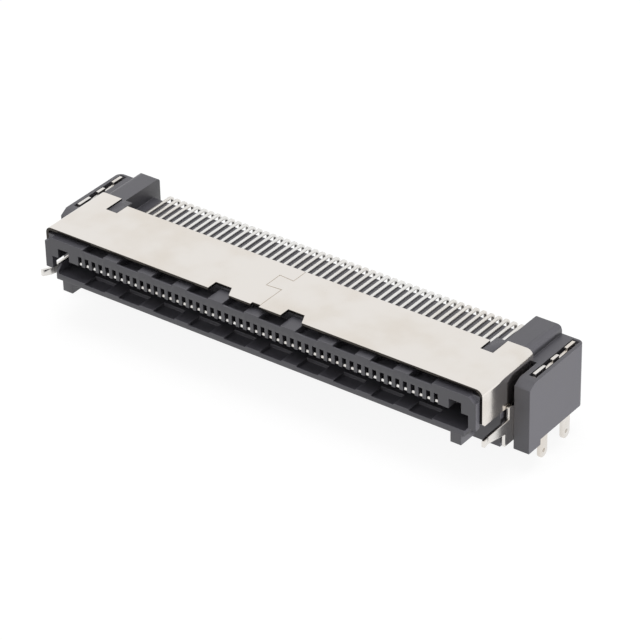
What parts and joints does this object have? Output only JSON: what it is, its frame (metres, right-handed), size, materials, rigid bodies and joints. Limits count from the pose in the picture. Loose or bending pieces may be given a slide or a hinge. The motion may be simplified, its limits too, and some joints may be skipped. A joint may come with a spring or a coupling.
{
  "type": "self-mating board connector",
  "caption": "Right-angle, shielded, self-mating board connector with two rows of fine-pitch contacts, board-lock pins at both ends and a folded metal shield.",
  "frame": {"origin": "On the board's surface, in the middle of the pattern of the four board-lock pins.", "axes": "X runs along the rows of contacts, from the keyed end to the plain end; +Y points from the mating face to the tails; +Z points away from the board."},
  "size_m": [0.0324, 0.0092, 0.0065],
  "materials": {
    "black_plastic": "fine matt moulding, slightly glossy at glancing angles",
    "shield_metal": "warm pale nickel-like plating over rolled sheet, soft reflections",
    "clip_metal": "matt tin-like plating on a stamped strip",
    "contact_metal": "matt tin-like plating over copper alloy"
  },
  "bodies": {
    "root": {"housing": "black_plastic", "shield": "shield_metal", "left_clip": "clip_metal", "right_clip": "clip_metal", "upper_contacts_bay_01": "contact_metal", "upper_contacts_bay_02": "contact_metal", "upper_contacts_bay_03": "contact_metal", "upper_contacts_bay_04": "contact_metal", "upper_contacts_bay_05": "contact_metal", "upper_contacts_bay_06": "contact_metal", "upper_contacts_bay_07": "contact_metal", "upper_contacts_bay_08": "contact_metal", "upper_contacts_bay_09": "contact_metal", "upper_contacts_bay_10": "contact_metal", "lower_contacts_bay_01": "contact_metal", "lower_contacts_bay_02": "contact_metal", "lower_contacts_bay_03": "contact_metal", "lower_contacts_bay_04": "contact_metal", "lower_contacts_bay_05": "contact_metal", "lower_contacts_bay_06": "contact_metal", "lower_contacts_bay_07": "contact_metal", "lower_contacts_bay_08": "contact_metal", "lower_contacts_bay_09": "contact_metal", "lower_contacts_bay_10": "contact_metal"}
  },
  "joints": []
}
